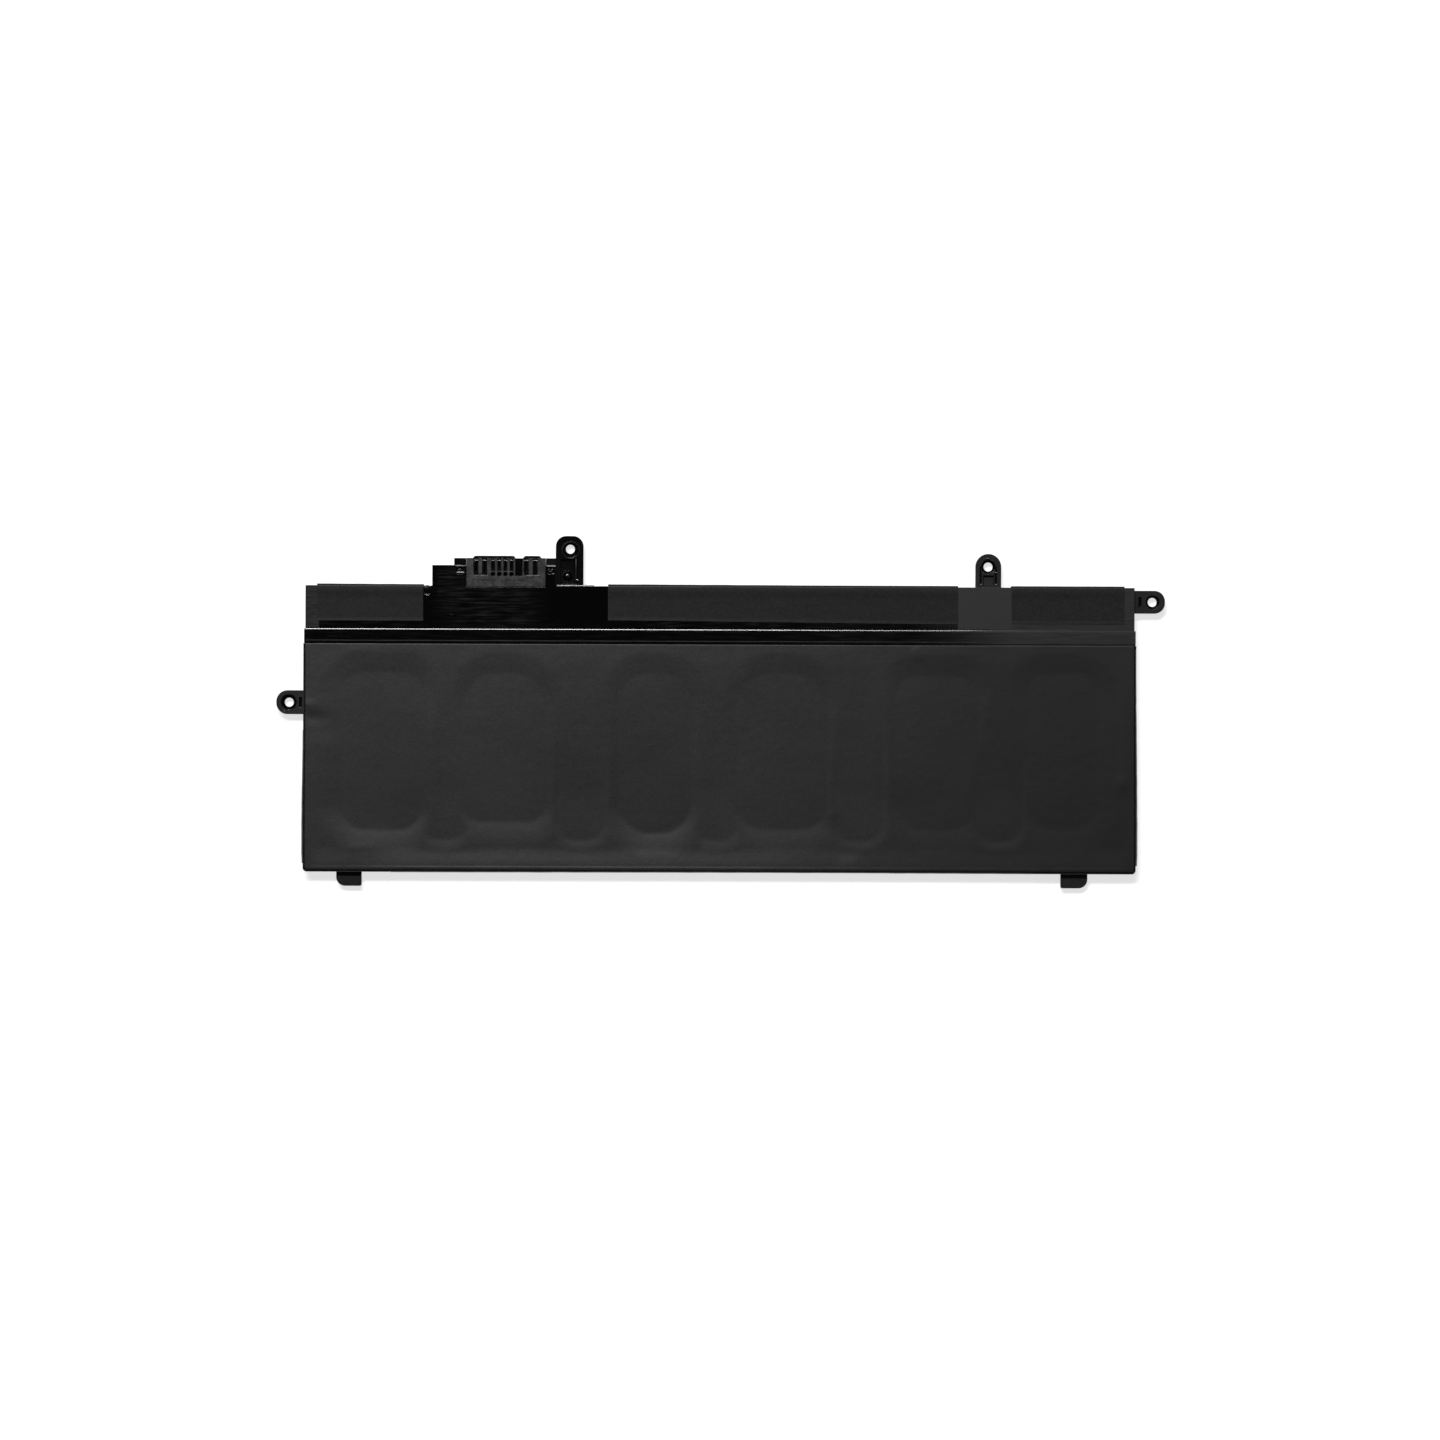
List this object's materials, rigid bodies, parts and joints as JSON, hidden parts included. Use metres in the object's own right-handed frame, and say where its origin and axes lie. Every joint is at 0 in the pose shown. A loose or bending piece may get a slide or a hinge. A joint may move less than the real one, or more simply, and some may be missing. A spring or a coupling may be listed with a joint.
{
  "type": "laptop battery pack",
  "caption": "Flat internal laptop battery: pouch cells in a black moulded frame under matte film, with a blade connector, screw tabs and locating feet.",
  "frame": {"origin": "middle of the outline, tabs and feet included, at the rear face on which the pack lies", "axes": "+X along the pack with the connector on the upper left, +Y towards the connector edge, +Z out of the front face"},
  "size_m": [0.2372, 0.0936, 0.0066],
  "materials": {
    "frame_plastic": "moulded, semi-gloss black",
    "film": "matte black polyester film",
    "pouch_foil": "laminated foil, satin",
    "aluminium_lead": "bare",
    "nickel_lead": "nickel plated",
    "tape": "white adhesive tape",
    "board_laminate": "black solder mask",
    "nickel_pad": "nickel plate",
    "foam": "closed-cell foam",
    "housing_plastic": "fine grained moulding",
    "contact_metal": "nickel plated spring metal",
    "chip_plastic": "epoxy moulding",
    "fuse_ceramic": "ceramic body",
    "small_part_ceramic": "ceramic bodies"
  },
  "bodies": {
    "root": {"frame": "frame_plastic", "front_film": "film", "rear_film": "film", "cell_1": "pouch_foil", "cell_2": "pouch_foil", "cell_3": "pouch_foil", "cell_4": "pouch_foil", "cell_5": "pouch_foil", "cell_6": "pouch_foil", "cell_1_positive_lead": "aluminium_lead", "cell_1_negative_lead": "nickel_lead", "cell_2_positive_lead": "aluminium_lead", "cell_2_negative_lead": "nickel_lead", "cell_3_positive_lead": "aluminium_lead", "cell_3_negative_lead": "nickel_lead", "cell_4_positive_lead": "aluminium_lead", "cell_4_negative_lead": "nickel_lead", "cell_5_positive_lead": "aluminium_lead", "cell_5_negative_lead": "nickel_lead", "cell_6_positive_lead": "aluminium_lead", "cell_6_negative_lead": "nickel_lead", "cell_tape_1": "tape", "cell_tape_2": "tape", "cell_tape_3": "tape", "cell_tape_4": "tape", "cell_tape_5": "tape", "cell_tape_6": "tape", "circuit_board": "board_laminate", "weld_pads": "nickel_pad", "board_foam": "foam", "connector_housing": "housing_plastic", "power_contact_1": "contact_metal", "power_contact_2": "contact_metal", "power_contact_3": "contact_metal", "power_contact_4": "contact_metal", "signal_contact_1": "contact_metal", "signal_contact_2": "contact_metal", "signal_contact_3": "contact_metal", "signal_contact_4": "contact_metal", "gauge_chip": "chip_plastic", "protector_chip": "chip_plastic", "charge_switch": "chip_plastic", "discharge_switch": "chip_plastic", "fuse": "fuse_ceramic", "sense_resistor": "chip_plastic", "small_chip_parts": "small_part_ceramic"}
  },
  "joints": []
}
